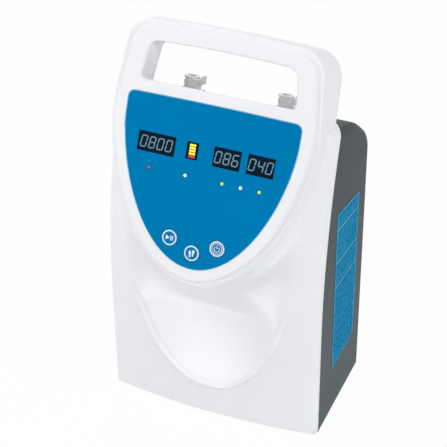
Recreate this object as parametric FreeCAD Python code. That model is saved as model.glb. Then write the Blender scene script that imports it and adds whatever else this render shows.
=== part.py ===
import FreeCAD, Part
import math
import os
from FreeCAD import Vector, Placement, Rotation

os.makedirs("parts", exist_ok=True)

# ---- driving dimensions, in millimetres ----
# the body is drawn with X across, Y back from the base's front corners, Z up from its bottom edge
body_width = 190.0
body_depth = 113.0          # front corners of the base to the flat back
base_bow = 7.0              # how far the base's front bulges at the middle
bow_rise = 0.17             # more bulge for each millimetre of height
flange = 6.0                # side strip of the front shell before the casing starts
shell_wall = 2.8
casing_wall = 3.0
lean_start = 105.0          # height where the parting line starts to lean back
lean_radius = 560.0
back_corner = 7.0
foot_height = 3.0
clear = 0.3                 # air between neighbouring pieces of different bodies
seat = 0.15                 # air round a piece that drops into a pocket

# control panel plane: it leans back, and its own y runs up it from the tip
panel_lean = 24.5
tip_y = -47.2
tip_z = 182.7
overlay_half = 73.5
overlay_tip = 2.8
overlay_top = 135.6
overlay_thick = 0.6
shoulder = 118.0            # where the shield is widest
shield_power = 1.65
shoulder_bend = 12.0        # straight run above the widest place, before the sides close in
shoulder_radius = 60.0
face_rim = 9.5              # white face outside the overlay
step_width = 4.0            # second, lower step of the rim
step_depth = 3.5
plateau_depth = 29.0        # handle and plateau, measured square to the panel
plateau_flare = 4.0
handle_bar = 14.7           # bar above the finger opening
opening_low = 145.0
opening_high = 177.5
opening_draft = 0.22        # how fast the opening's floor falls away toward the back
opening_half_low = 65.3
opening_half_high = 61.2
grip_wall = 2.4
cover_thick = 3.0

# chin scoop: an ellipsoid pressed into the front
scoop_centre_y = -45.0
scoop_centre_z = 125.0
scoop_rx = 80.0
scoop_ry = 47.0
scoop_rz = 138.0

# windows, lights and buttons on the panel
window_low = 88.3
window_high = 104.0
window_thick = 2.4
timer_window = (-59.4, -27.5)
mode_window = (5.4, 28.1)
pressure_window = (34.0, 56.4)
battery_window = (-17.6, -7.9)
battery_low = 89.8
battery_high = 103.3
light_row = 76.0
light_pitch = 15.7
light_radius = 1.5
button_radius = 6.4
button_travel = 0.8
button_side = 20.5
button_row = 24.3
centre_button_row = 16.0

# boards behind the panel
board_thick = 1.6
display_board_depth = 13.0
tact_body = 6.0
tact_height = 3.0
actuator_height = 0.8
stem_radius = 2.0
display_screw_side = 57.0
display_screw_low = 62.0
display_screw_high = 112.0
screw_radius = 1.5

# top of the casing and its air couplings
knee_from_back = 35.0
top_run = 40.0              # sloping top from the front shell to the knee
port_from_knee = 20.0
top_front_z = 288.8
top_knee_z = 273.8
top_back_z = 243.0
knee_radius = 80.0
back_radius = 38.0
top_edge_radius = 6.0
port_side = 41.0
port_plate_length = 23.0
port_screw_side = 8.8
port_plate_width = 13.0
port_plate_thick = 2.0
port_pad_rise = 1.0
port_offset = -2.0          # barrel off the plate's middle, to leave room for the latch block
port_radius = 5.8
port_height = 12.0
port_bore = 3.6
port_tail_radius = 4.0
port_tail_length = 9.0      # from the plate's seat down to the barb
latch_block_half = 5.6
latch_block_height = 10.0
latch_block_reach = 1.4     # past the barrel's side
latch_travel = 1.5
latch_thick = 2.0
latch_rise = 6.2            # above the coupling's plate
latch_half = 4.6
tab_height = 6.8            # thumb tab above the latch plate's underside

# screws between the two shells, and the air slots in the back
boss_radius = 4.5
case_screw_radius = 2.0
case_head_radius = 3.6
case_screw_length = 16.0
screw_floor = 12.0          # casing tube floor behind the parting surface
vent_count = 8
vent_pitch = 7.0
vent_height = 3.0
vent_half = 26.0
vent_from_side = 49.0
vent_z = 44.0

# side label
label_y0 = 35.0
label_y1 = 90.0
label_z0 = 48.0
label_front_z1 = 210.0      # its top edge falls toward the back
label_back_z1 = 200.0
label_thick = 0.3

# inside
chassis_thick = 1.5
chassis_side_gap = 11.0
chassis_back_gap = 11.0
chassis_depth = 72.0
chassis_rise = 5.0          # stand-offs under the chassis plate
motor_radius = 18.5
motor_length = 56.0
motor_from_back = 66.0
motor_axis_z = 47.0
motor_from_side = 15.0
head_length = 42.0
head_width = 44.0
head_height = 46.0
shaft_radius = 2.5
eccentric_radius = 9.0
eccentric_width = 8.0
isolator_radius = 6.0
isolator_height = 6.0
battery_size = (34.0, 44.0, 62.0)
battery_from_side = 56.0
battery_from_back = 81.0
supply_from_side = 23.0
supply_board_width = 92.0
supply_board_z0 = 14.0
supply_board_z1 = 66.0
main_board_z0 = 84.0
main_board_z1 = 196.0
main_board_half = 68.0
stand_off = 8.0
manifold_z = 214.0
manifold_height = 18.0
manifold_depth = 20.0
manifold_half = 52.0
manifold_from_back = 57.0
solenoid_side = 32.0
solenoid_size = 18.0
solenoid_length = 26.0
plunger_radius = 2.5
plunger_travel = 1.0
tube_radius = 3.0
tube_bore = 1.8
tube_bend = 12.0
outlet_lead = 13.5          # straight run below a coupling before its tube turns
barb_radius = 1.75
barb_length = 6.0
sensor_x = 44.0
sensor_z = 182.0
ribbon_x = -30.0
ribbon_half = 11.0
ribbon_thick = 0.9
ribbon_z = 180.0
inlet_from_side = 37.0
inlet_z = 40.0
inlet_flange = 2.5
inlet_deep = 24.0
drawer_proud = 0.5

tau = math.radians(panel_lean)
half_width = body_width / 2
front_most = tip_y + (overlay_tip - face_rim) * math.sin(tau)
handle_top = opening_high + handle_bar
top_knee_y = body_depth - knee_from_back
top_front_y = top_knee_y - top_run
port_y = top_knee_y - port_from_knee
motor_axis_y = body_depth - motor_from_back
motor_x = motor_from_side - half_width
battery_x = half_width - battery_from_side
battery_y = body_depth - battery_from_back
supply_board_x0 = supply_from_side - half_width
supply_board_x1 = supply_board_x0 + supply_board_width
manifold_y = body_depth - manifold_from_back
inlet_x = half_width - inlet_from_side
vent_x = vent_from_side - half_width
chassis_half = half_width - chassis_side_gap
chassis_y1 = body_depth - chassis_back_gap
chassis_y0 = chassis_y1 - chassis_depth
inner_back = body_depth - casing_wall
board_front = inner_back - stand_off - board_thick
chassis_top = chassis_rise + chassis_thick
cradle_low = chassis_top + isolator_height
head_x = motor_x + motor_length
pump_tube_x = head_x + 21
solenoids = (("left", -solenoid_side), ("vent", 0.0), ("right", solenoid_side))
rear_most = body_depth + inlet_flange + drawer_proud
centre_y = (front_most + rear_most) / 2   # the origin stands under the middle of the overall depth


# ---- small helpers ----
def box(x0, x1, y0, y1, z0, z1):
    return Part.makeBox(x1 - x0, y1 - y0, z1 - z0, Vector(x0, y0, z0))


def rod(radius, start, end):
    a = Vector(*start)
    b = Vector(*end)
    return Part.makeCylinder(radius, (b - a).Length, a, b - a)


def group(shapes):
    return Part.makeCompound(shapes)


def tangent_arc(before, here, after, radius):
    """start, middle and end of the arc that rounds one corner"""
    u = (before - here).normalize()
    v = (after - here).normalize()
    half = u.getAngle(v) / 2
    run = radius / math.tan(half)
    centre = here + (u + v).normalize() * (radius / math.sin(half))
    middle = centre + (here - centre).normalize() * radius
    return here + u * run, middle, here + v * run


def path_edges(corners):
    """straight runs and tangent arcs through a list of (point, radius)"""
    edges = []
    last = corners[0][0]
    for i in range(1, len(corners) - 1):
        here, radius = corners[i]
        start, middle, end = here, here, here
        if radius > 0:
            start, middle, end = tangent_arc(corners[i - 1][0], here, corners[i + 1][0], radius)
        if (start - last).Length > 1e-6:
            edges.append(Part.makeLine(last, start))
        if radius > 0:
            edges.append(Part.Arc(start, middle, end).toShape())
        last = end
    if (corners[-1][0] - last).Length > 1e-6:
        edges.append(Part.makeLine(last, corners[-1][0]))
    return edges


def loop_face(corners):
    """face inside a closed loop of (point, radius)"""
    start = (corners[-1][0] + corners[0][0]) * 0.5
    return Part.Face(Part.Wire(path_edges([(start, 0)] + corners + [(start, 0)])))


def side_prism(corners, x0, x1):
    """a side-view outline of (y, z, radius), pulled across from x0 to x1"""
    face = loop_face([(Vector(x0, y, z), r) for y, z, r in corners])
    return face.extrude(Vector(x1 - x0, 0, 0))


def flat_prism(corners, z0, z1):
    """an outline of (x, y, radius), pulled from z0 to z1"""
    face = loop_face([(Vector(x, y, z0), r) for x, y, r in corners])
    return face.extrude(Vector(0, 0, z1 - z0))


def rounded_block(x0, x1, y0, y1, z0, z1, r):
    return flat_prism([(x0, y0, r), (x1, y0, r), (x1, y1, r), (x0, y1, r)], z0, z1)


def on_panel(shape):
    """from the panel's own frame (x across, y up it, z out of it) to the body's"""
    turned = shape.copy()
    turned.Placement = Placement(Vector(0, tip_y, tip_z), Rotation(Vector(1, 0, 0), 90 - panel_lean))
    return turned


def panel_point(x, s, out):
    return Vector(x, tip_y + s * math.sin(tau) - out * math.cos(tau),
                  tip_z + s * math.cos(tau) + out * math.sin(tau))


def parting_y(z):
    """where the front shell ends and the casing starts, at a height"""
    if z <= lean_start:
        return flange
    rise = z - lean_start
    return flange + lean_radius - math.sqrt(lean_radius ** 2 - rise ** 2)


def parting_prism(y_far):
    """everything between the parting surface and y_far, across the whole width"""
    top = top_front_z + 15
    middle = (lean_start + top) / 2
    reach = half_width + 20
    points = [Vector(-reach, parting_y(z), z) for z in (-20, lean_start, middle, top)]
    rise = top - lean_start
    slope = rise / math.sqrt(lean_radius ** 2 - rise ** 2)
    high = points[3] + Vector(0, slope * 80, 80)
    edges = [Part.makeLine(points[0], points[1]), Part.Arc(points[1], points[2], points[3]).toShape(),
             Part.makeLine(points[3], high)]
    far_high = Vector(-reach, y_far, high.z)
    far_low = Vector(-reach, y_far, points[0].z)
    edges += [Part.makeLine(high, far_high), Part.makeLine(far_high, far_low),
              Part.makeLine(far_low, points[0])]
    return Part.Face(Part.Wire(edges)).extrude(Vector(2 * reach, 0, 0))


# ---- the shield outlines, in the panel's own frame ----
def shield_edges(half, tip, z):
    """lower part, from the right shoulder round the tip to the left one"""
    points = []
    steps = 8
    for i in range(steps, -steps - 1, -1):
        angle = math.pi / 2 * i / steps
        rise = math.cos(angle) ** (2 / shield_power)
        points.append(Vector(half * math.sin(angle), shoulder - (shoulder - tip) * rise, z))
    curve = Part.BSplineCurve()
    curve.interpolate(Points=points, InitialTangent=Vector(0, -1, 0), FinalTangent=Vector(0, 1, 0))
    return [curve.toShape()]


def shield_wire(half, tip, top_half, corner_y, top, corner_radius, z):
    """whole outline: the shield below, and a crowned top with round corners"""
    slope = math.atan2(top - corner_y, top_half)
    crown = 0.5 * top_half / math.tan(slope)
    upper = [(Vector(-half, shoulder, z), 0),
             (Vector(-top_half, corner_y, z), corner_radius),
             (Vector(0, top, z), crown),
             (Vector(top_half, corner_y, z), corner_radius),
             (Vector(half, shoulder, z), 0)]
    if top_half < half:
        upper.insert(4, (Vector(half, shoulder + shoulder_bend, z), shoulder_radius))
        upper.insert(1, (Vector(-half, shoulder + shoulder_bend, z), shoulder_radius))
    return Part.Wire(path_edges(upper) + shield_edges(half, tip, z))


def face_outline(z, inset=0.0):
    half = overlay_half + face_rim - inset
    return shield_wire(half, overlay_tip - face_rim + inset, half - 8.5, handle_top - 3.7 - inset,
                       handle_top - inset, 20 - inset, z)


def step_outline(z, inset=0.0):
    half = overlay_half + face_rim + step_width - inset
    return shield_wire(half, overlay_tip - face_rim - step_width + inset, half - 6.5,
                       handle_top + step_width - 5 - inset, handle_top + step_width - 0.7 - inset,
                       22 - inset, z)


def back_outline(z, inset=0.0):
    half = overlay_half + face_rim + step_width + plateau_flare - inset
    return shield_wire(half, overlay_tip - face_rim - step_width - plateau_flare + inset, half - 2.5,
                       handle_top - 1.2 - inset, handle_top + 1.8 - inset, 22 - inset, z)


def overlay_outline(z, grow=0.0):
    half = overlay_half + grow
    return shield_wire(half, overlay_tip - grow, half, overlay_top - 1 + grow,
                       overlay_top + grow, 6 + grow, z)


def opening_wire(z, grow):
    low, high = opening_low - grow + opening_draft * z, opening_high + grow
    narrowing = (opening_half_low - opening_half_high) / (opening_high - 2 - opening_low)
    half_low = opening_half_low + grow - narrowing * opening_draft * z
    half_high = opening_half_high + grow
    crown = 0.55 * opening_half_high / math.tan(math.atan2(2, opening_half_high))
    corners = [(-half_low, low, 3 + grow), (half_low, low, 3 + grow), (half_high, high - 2, 9 + grow),
               (0, high, crown), (-half_high, high - 2, 9 + grow)]
    points = [(Vector(x, y, z), r) for x, y, r in corners]
    start = (points[-1][0] + points[0][0]) * 0.5
    return Part.Wire(path_edges([(start, 0)] + points + [(start, 0)]))


def opening_prism(z0, z1, grow=0.0):
    """the finger opening: its floor falls away toward the back, its other walls stand square"""
    return Part.makeLoft([opening_wire(z0, grow), opening_wire(z1, grow)], True, True)


def plateau_solid(inset=0.0, deeper=0.0):
    """two-step plateau with the handle at its top, in the panel's own frame"""
    front = -inset
    step = -step_depth - inset
    rear = -plateau_depth - deeper
    upper = Part.Face(face_outline(step - 1, inset)).extrude(Vector(0, 0, front - step + 1))
    lower = Part.makeLoft([step_outline(step, inset), back_outline(rear, inset)], True, True)
    return upper.fuse(lower)


# ---- the body under the plateau ----
def body_section(z, inset, y_far):
    """closed horizontal section: bowed front, straight sides and back"""
    half = half_width - inset
    front = parting_y(z) - flange + inset
    bow = base_bow + bow_rise * z
    left, right = Vector(-half, front, z), Vector(half, front, z)
    middle = Vector(0, front - bow, z)
    back_right, back_left = Vector(half, y_far, z), Vector(-half, y_far, z)
    return Part.Wire([Part.Arc(left, middle, right).toShape(), Part.makeLine(right, back_right),
                      Part.makeLine(back_right, back_left), Part.makeLine(back_left, left)])


def scoop_tool(grow):
    ball = Part.makeSphere(1.0)
    matrix = FreeCAD.Matrix()
    matrix.scale(scoop_rx + grow, scoop_ry + grow, scoop_rz + grow)
    ball = ball.transformGeometry(matrix)
    ball.translate(Vector(0, scoop_centre_y, scoop_centre_z))
    return ball


def body_solid(inset=0.0):
    """front shell's body, solid, up to the ledge under the handle"""
    levels = (inset, 60, lean_start, 160, 220, 270, top_front_z + 25)
    lofted = Part.makeLoft([body_section(z, inset, 70) for z in levels], True, False)
    front, reach = 9 + inset, 200
    floor_low = opening_low - inset
    behind_face = on_panel(side_prism([(-260, -front, 0), (floor_low - opening_draft * front, -front, 0),
                                       (floor_low - opening_draft * reach, -reach, 0), (-260, -reach, 0)],
                                      -200, 200))
    radius = 14.0
    top = top_front_z + 8 - inset
    low_radius = 3.0
    half = half_width - inset
    front_view = loop_face([(Vector(-half, -150, inset), low_radius), (Vector(half, -150, inset), low_radius),
                            (Vector(half, -150, top), radius), (Vector(-half, -150, top), radius)])
    front_view = front_view.extrude(Vector(0, 300, 0))
    neck = on_panel(Part.Face(back_outline(-160, inset)).extrude(Vector(0, 0, 165)))
    return lofted.common(behind_face).common(front_view).cut(scoop_tool(inset).cut(neck))


def window_cuts(z0, z1, grow):
    cuts = []
    for x0, x1 in (timer_window, mode_window, pressure_window):
        cuts.append(box(x0 - grow, x1 + grow, window_low - grow, window_high + grow, z0, z1))
    x0, x1 = battery_window
    cuts.append(box(x0 - grow, x1 + grow, battery_low - grow, battery_high + grow, z0, z1))
    return cuts


def light_places():
    """x of each light: red, white, green, white, green"""
    return (-3 * light_pitch, -light_pitch, light_pitch, 2 * light_pitch, 3 * light_pitch)


def button_places():
    return (("start_button", -button_side, button_row), ("foot_button", 0, centre_button_row),
            ("power_button", button_side, button_row))


def panel_holes(z0, z1, window_gap, light_gap, button_gap):
    holes = window_cuts(z0, z1, window_gap)
    for x in light_places():
        holes.append(rod(light_radius + light_gap, (x, light_row, z0), (x, light_row, z1)))
    for name, x, y in button_places():
        holes.append(rod(button_radius + button_gap, (x, y, z0), (x, y, z1)))
    return holes


def display_screw_places():
    side = display_screw_side
    return ((-side, display_screw_high), (side, display_screw_high),
            (-side + 8, display_screw_low), (side - 8, display_screw_low))


def case_screw_places():
    """x and z of the four screws that pull the two shells together"""
    side = half_width - 13
    return ((-side, 22.0), (side, 22.0), (-side, 205.0), (side, 205.0))


def handle_screw_places():
    side = overlay_half + 1.5
    return ((-side, opening_low + 15), (side, opening_low + 15))


def front_shell():
    outer = body_solid().cut(parting_prism(200)).fuse(on_panel(plateau_solid()))
    inner_body = body_solid(shell_wall).common(side_prism(casing_profile(casing_wall), -120, 120))
    inner_plateau = on_panel(plateau_solid(shell_wall, 1.0))
    shell = outer.cut([inner_body, inner_plateau])
    grip = on_panel(opening_prism(-plateau_depth, 0, grip_wall))
    shell = shell.fuse(grip.common(outer))
    bosses = []
    for x, y in display_screw_places():
        bosses.append(on_panel(rod(3.2, (x, y, -display_board_depth), (x, y, -shell_wall + 0.5))))
    for x, z in case_screw_places():
        front_y = parting_y(z) - 12 if z > lean_start else -1.5
        boss = rod(boss_radius, (x, front_y, z), (x, parting_y(z) + 1.5, z))
        bosses.append(boss.common(outer.fuse(box(-120, 120, 0, 60, 0, 300))))
    for x, y in handle_screw_places():
        bosses.append(on_panel(rod(3.2, (x, y, -plateau_depth + 3), (x, y, -shell_wall + 0.5))))
    shell = shell.fuse(bosses)
    pocket = on_panel(Part.Face(overlay_outline(-overlay_thick, seat)).extrude(Vector(0, 0, 5)))
    cuts = [pocket, on_panel(opening_prism(-60, 20))]
    cuts += [on_panel(hole) for hole in panel_holes(-8, 5, seat, seat, clear)]
    for x, y in display_screw_places():
        cuts.append(on_panel(rod(screw_radius - 0.3, (x, y, -display_board_depth - 1), (x, y, -4))))
    for x, z in case_screw_places():
        cuts.append(rod(case_screw_radius - 0.3, (x, parting_y(z) - 4.5, z), (x, parting_y(z) + 5, z)))
    for x, y in handle_screw_places():
        cuts.append(on_panel(rod(screw_radius - 0.3, (x, y, -plateau_depth - 5), (x, y, -15))))
    return shell.cut(cuts)


def handle_back_cover():
    """arch-shaped plate that closes the hollow handle from behind"""
    taper = plateau_flare / (plateau_depth - step_depth)
    gap = shell_wall + 2 * seat + taper * (cover_thick + 1)
    depth = plateau_depth
    outline = Part.Face(back_outline(-depth, gap)).extrude(Vector(0, 0, cover_thick))
    arch = outline.common(box(-120, 120, opening_low - grip_wall, 260, -depth, 0))
    cover = arch.cut(opening_prism(-60, 20, grip_wall + seat))
    low_edge = opening_low + clear
    cover = cover.common(box(-120, 120, low_edge, 260, -60, 0))
    for x, y in handle_screw_places():
        cover = cover.cut([rod(screw_radius + 0.2, (x, y, -40), (x, y, 0)),
                           rod(2.8, (x, y, -depth - 1), (x, y, -depth + 1.2))])
    return on_panel(cover)


def handle_screws():
    screws = []
    for x, y in handle_screw_places():
        rear = -plateau_depth
        head = rod(2.6, (x, y, rear + 0.2), (x, y, rear + 1.2))
        shank = rod(screw_radius - 0.35, (x, y, rear + 1.2), (x, y, rear + 11))
        screws.append(on_panel(head.fuse(shank)))
    return group(screws)


# ---- rear casing ----
def casing_profile(inset):
    """side view of the casing, from well in front of the parting surface"""
    slope = (top_front_z - top_knee_z) / (top_knee_y - top_front_y)
    front = -70.0
    high = top_front_z + slope * (top_front_y - front) - inset
    return [(front, inset, 0), (body_depth - inset, inset, 3.0),
            (body_depth - inset, top_back_z, back_radius - inset),
            (top_knee_y, top_knee_z - inset, knee_radius - inset), (front, high, 0)]


def casing_block(inset):
    """closed casing form: the side view pulled across, with round back corners"""
    half = half_width - inset
    back = body_depth - inset
    radius = back_corner - inset
    side = side_prism(casing_profile(inset), -half, half)
    plan = flat_prism([(-half, -200, 0), (half, -200, 0), (half, back, radius), (-half, back, radius)],
                      -10, 400)
    return side.common(plan)


def soften_top(block, radius):
    """rounds the long edges where the top meets the two sides"""
    edges = []
    for edge in block.Edges:
        reach = edge.BoundBox
        on_side = abs(abs(edge.CenterOfMass.x) - half_width) < 4.0
        if on_side and reach.ZMax > top_back_z - 30 and reach.ZMin > 60 and reach.YLength > 4:
            edges.append(edge)
    return block.makeFillet(radius, edges)


def port_axis():
    """the couplings stand square to the sloping top"""
    return math.atan2(top_front_z - top_knee_z, top_knee_y - top_front_y)


def port_origin_z():
    return top_front_z - math.tan(port_axis()) * (port_y - top_front_y)


def on_port(shape, side):
    """from a coupling's own frame (z up its axis, x across) to the body's; side is -1 or 1"""
    turned = shape.copy()
    slope = math.degrees(port_axis())
    origin = Vector(side * port_side, port_y, port_origin_z() - 1.0)
    turned.Placement = Placement(origin, Rotation(Vector(1, 0, 0), -slope)).multiply(turned.Placement)
    return turned


def inlet_hole(grow, y0, y1):
    return flat_side(inlet_x, inlet_z, 27.4 + 2 * grow, 33.0 + 2 * grow, y0, y1, 3.0)


def flat_side(x, z, width, height, y0, y1, r):
    """rounded block seen from behind: width along X, height along Z, from y0 to y1"""
    w, h = width / 2, height / 2
    face = loop_face([(Vector(x - w, y0, z - h), r), (Vector(x + w, y0, z - h), r),
                      (Vector(x + w, y0, z + h), r), (Vector(x - w, y0, z + h), r)])
    return face.extrude(Vector(0, y1 - y0, 0))


def foot_places():
    x = half_width - 20
    return (("front_left", -x, 24.0), ("front_right", x, 24.0),
            ("rear_left", -x, body_depth - 18), ("rear_right", x, body_depth - 18))


def chassis_stand_places():
    side = chassis_half - 6
    return ((-side, chassis_y0 + 8), (side, chassis_y0 + 42), (-side, chassis_y0 + 56),
            (head_x - 4, chassis_y0 + 8))


def main_board_places():
    x = main_board_half - 5
    return ((-x, main_board_z0 + 5), (x, main_board_z0 + 5), (-x, main_board_z1 - 5), (x, main_board_z1 - 5))


def supply_places():
    low, high = supply_board_z0 + 5, supply_board_z1 - 5
    left, right = supply_board_x0 + 6, supply_board_x1 - 6
    return ((left, low), (right, low), (left, high), (right, high))


def rear_casing():
    casing = soften_top(casing_block(0.0), top_edge_radius)
    casing = casing.cut(soften_top(casing_block(casing_wall), top_edge_radius - casing_wall))
    adds = []
    for side in (-1, 1):
        pad = rounded_block(-port_plate_length / 2 - 2, port_plate_length / 2 + 2, -port_plate_width / 2 - 2,
                            port_plate_width / 2 + 2, -4, port_pad_rise, 3)
        adds.append(on_port(pad, side))
    for x, z in case_screw_places():
        adds.append(rod(boss_radius + 1.5, (x, parting_y(z) - 6, z), (x, inner_back + 1, z)))
    for x, y in chassis_stand_places():
        adds.append(rod(4, (x, y, casing_wall - 1), (x, y, chassis_rise)))
    for x, z in main_board_places() + supply_places():
        adds.append(rod(3.5, (x, inner_back - stand_off, z), (x, inner_back + 1, z)))
    for side in (-1, 1):
        adds.append(rod(4, (side * (manifold_half - 5), manifold_y + manifold_depth, manifold_z + 9),
                        (side * (manifold_half - 5), inner_back + 1, manifold_z + 9)))
    casing = casing.fuse(adds)
    front = parting_prism(-400)
    casing = casing.cut(front)
    boss_gap = []
    cuts = []
    for x, z in case_screw_places():
        y = parting_y(z)
        boss_gap.append(rod(boss_radius + seat, (x, y - 8, z), (x, y + 1.5 + seat, z)))
        cuts.append(rod(case_screw_radius + 0.2, (x, y - 8, z), (x, y + 30, z)))
        cuts.append(rod(case_head_radius + 0.4, (x, y + screw_floor, z), (x, body_depth + 5, z)))
    casing = casing.cut(boss_gap + cuts)
    cuts = [inlet_hole(seat, inner_back - 5, body_depth + 5)]
    for i in range(vent_count):
        z = vent_z + (i - (vent_count - 1) / 2) * vent_pitch
        cuts.append(flat_side(vent_x, z, 2 * vent_half, vent_height, inner_back - 1, body_depth + 5, 1.4))
    for name, x, y in foot_places():
        cuts.append(rod(3 + seat, (x, y, -1), (x, y, casing_wall + 1)))
    for side in (-1, 1):
        cuts.append(on_port(rod(port_tail_radius + 0.2, (port_offset, 0, -12), (port_offset, 0, 10)), side))
        for x in (-port_screw_side, port_screw_side):
            cuts.append(on_port(rod(0.9, (x, 0, -3.5), (x, 0, 10)), side))
    for x, y in chassis_stand_places():
        cuts.append(rod(1.2, (x, y, 0.8), (x, y, chassis_rise + 1)))
    for x, z in main_board_places() + supply_places():
        cuts.append(rod(1.2, (x, inner_back - stand_off - 1, z), (x, inner_back, z)))
    for side in (-1, 1):
        cuts.append(rod(1.5, (side * (manifold_half - 5), manifold_y, manifold_z + 9),
                        (side * (manifold_half - 5), manifold_y + 35, manifold_z + 9)))
    return casing.cut(cuts)


def case_screws():
    screws = []
    for x, z in case_screw_places():
        y = parting_y(z) + screw_floor
        head = rod(case_head_radius, (x, y, z), (x, y + 2.5, z))
        shank = rod(case_screw_radius - 0.35, (x, y - case_screw_length, z), (x, y, z))
        screws.append(head.fuse(shank))
    return group(screws)


# ---- panel pieces, all in the panel's own frame ----
def panel_overlay():
    sheet = Part.Face(overlay_outline(-overlay_thick)).extrude(Vector(0, 0, overlay_thick))
    return on_panel(sheet.cut(panel_holes(-5, 5, seat, seat, clear)))


def window(x0, x1, low, high):
    pane = rounded_block(x0, x1, low, high, -window_thick, 0.1, 0.4)
    return on_panel(pane)


def lights(xs):
    lamps = []
    for x in xs:
        dome = Part.makeSphere(light_radius, Vector(x, light_row, -0.9))
        barrel = rod(light_radius, (x, light_row, -display_board_depth), (x, light_row, -0.9))
        lamps.append(on_panel(barrel.fuse(dome)))
    return group(lamps)


def push_button(x, y):
    cap = rod(button_radius, (x, y, -shell_wall - clear), (x, y, 0.6))
    rim = [edge for edge in cap.Edges if abs(edge.BoundBox.ZMin - 0.6) < 0.01]
    cap = cap.makeFillet(0.5, rim)
    flange_low = -shell_wall - clear - 1.0
    collar = rod(button_radius + 1.4, (x, y, flange_low), (x, y, -shell_wall - clear))
    switch_top = -display_board_depth + tact_height + actuator_height
    stem = rod(stem_radius, (x, y, switch_top + button_travel + 0.1), (x, y, flange_low))
    return on_panel(cap.fuse([collar, stem]))


def display_board():
    x = display_screw_side + 5
    outline = [(-x, display_screw_high + 5, 2), (-x, display_screw_low, 2), (-30, 6, 6), (30, 6, 6),
               (x, display_screw_low, 2), (x, display_screw_high + 5, 2)]
    rear = -display_board_depth - board_thick
    board = flat_prism(outline, rear, -display_board_depth)
    for px, py in display_screw_places():
        board = board.cut(rod(screw_radius + 0.15, (px, py, rear - 1), (px, py, 0)))
    return on_panel(board)


def display_screws():
    screws = []
    rear = -display_board_depth - board_thick
    for x, y in display_screw_places():
        head = rod(2.7, (x, y, rear - 1.8), (x, y, rear))
        shank = rod(screw_radius - 0.35, (x, y, rear), (x, y, -5))
        screws.append(on_panel(head.fuse(shank)))
    return group(screws)


def digit_module(x0, x1, low, high):
    return on_panel(box(x0 + 0.5, x1 - 0.5, low + 0.5, high - 0.5, -display_board_depth, -window_thick - 0.3))


def tact_switches():
    switches = []
    half = tact_body / 2
    for name, x, y in button_places():
        top = -display_board_depth + tact_height
        base = box(x - half, x + half, y - half, y + half, -display_board_depth, top)
        knob = rod(1.7, (x, y, top), (x, y, top + actuator_height))
        switches.append(on_panel(base.fuse(knob)))
    return group(switches)


# ---- air couplings ----
def coupling(side):
    """flanged barrel with a latch block beside it, a through bore and a barbed tail"""
    x = port_offset
    base = port_pad_rise + port_plate_thick
    top = base + port_height
    plate = rounded_block(-port_plate_length / 2, port_plate_length / 2, -port_plate_width / 2,
                          port_plate_width / 2, port_pad_rise, base, 2.5)
    body = rod(port_radius, (x, 0, base), (x, 0, top))
    collar = rod(port_radius + 0.6, (x, 0, top - 1.6), (x, 0, top))
    block = rounded_block(x, x + port_radius + latch_block_reach, -latch_block_half, latch_block_half,
                          base, base + latch_block_height, 1.5)
    tail = rod(port_tail_radius, (x, 0, -port_tail_length), (x, 0, base))
    barb = rod(barb_radius, (x, 0, -port_tail_length - barb_length), (x, 0, -port_tail_length))
    whole = plate.fuse([body, collar, block, tail, barb])
    low = base + latch_rise
    slot = box(x - port_radius - 2, x + port_radius + 6, -latch_half - clear, latch_half + clear,
               low - clear, low + latch_thick + clear)
    bore = rod(port_bore, (x, 0, base - 4), (x, 0, top + 1))
    throat = rod(1.0, (x, 0, -20), (x, 0, base))
    whole = whole.cut([slot, bore, throat])
    for screw_x in (-port_screw_side, port_screw_side):
        whole = whole.cut(rod(1.3, (screw_x, 0, 0), (screw_x, 0, base + 1)))
        whole = whole.cut(rod(2.3, (screw_x, 0, base), (screw_x, 0, base + 3)))
    return on_port(whole, side)


def latch(side):
    """thumb latch: a plate through the barrel with a bent-up thumb tab beyond the block"""
    x = port_offset
    low = port_pad_rise + port_plate_thick + latch_rise
    end = x + port_radius + 5.2
    plate = rounded_block(x - port_radius + 0.4, end, -latch_half, latch_half, low, low + latch_thick, 1.0)
    tab = rounded_block(end - 1.6, end, -latch_half, latch_half, low, low + tab_height, 0.5)
    hole = rounded_block(x - port_bore - clear, x + port_bore + latch_travel + clear, -port_bore - clear,
                         port_bore + clear, low - 1, low + latch_thick + 1, port_bore)
    return on_port(plate.fuse(tab).cut(hole), side)


def port_screws():
    screws = []
    top = port_pad_rise + port_plate_thick
    for side in (-1, 1):
        for x in (-port_screw_side, port_screw_side):
            head = rod(2.0, (x, 0, top), (x, 0, top + 1.3))
            shank = rod(0.85, (x, 0, -3), (x, 0, top))
            screws.append(on_port(head.fuse(shank), side))
    return group(screws)


def side_label():
    x = half_width
    face = loop_face([(Vector(x, label_y0, label_z0), 3), (Vector(x, label_y1, label_z0), 3),
                      (Vector(x, label_y1, label_back_z1), 3), (Vector(x, label_y0, label_front_z1), 3)])
    return face.extrude(Vector(label_thick, 0, 0))


def foot(x, y):
    pad = rod(8, (x, y, -foot_height), (x, y, 0))
    rim = [edge for edge in pad.Edges if abs(edge.BoundBox.ZMin + foot_height) < 0.01
           and edge.BoundBox.ZLength < 0.1]
    pad = pad.makeFillet(1.0, rim)
    return pad.fuse(rod(3, (x, y, 0), (x, y, casing_wall)))


# ---- inside the casing ----
def chassis_plate():
    half = chassis_half
    plate = rounded_block(-half, half, chassis_y0, chassis_y1, chassis_rise, chassis_top, 3)
    plate = plate.fuse(box(-half, half, chassis_y1 - chassis_thick, chassis_y1, chassis_top, chassis_top + 6))
    holes = [rod(1.7, (x, y, 0), (x, y, 20)) for x, y in chassis_stand_places()]
    holes += [rod(2.0, (x, y, 0), (x, y, 20)) for x, y in isolator_places()]
    return plate.cut(holes)


def chassis_screws():
    screws = []
    for x, y in chassis_stand_places():
        head = rod(2.8, (x, y, chassis_top), (x, y, chassis_top + 1.8))
        screws.append(head.fuse(rod(1.1, (x, y, 1.2), (x, y, chassis_top))))
    return group(screws)


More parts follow.
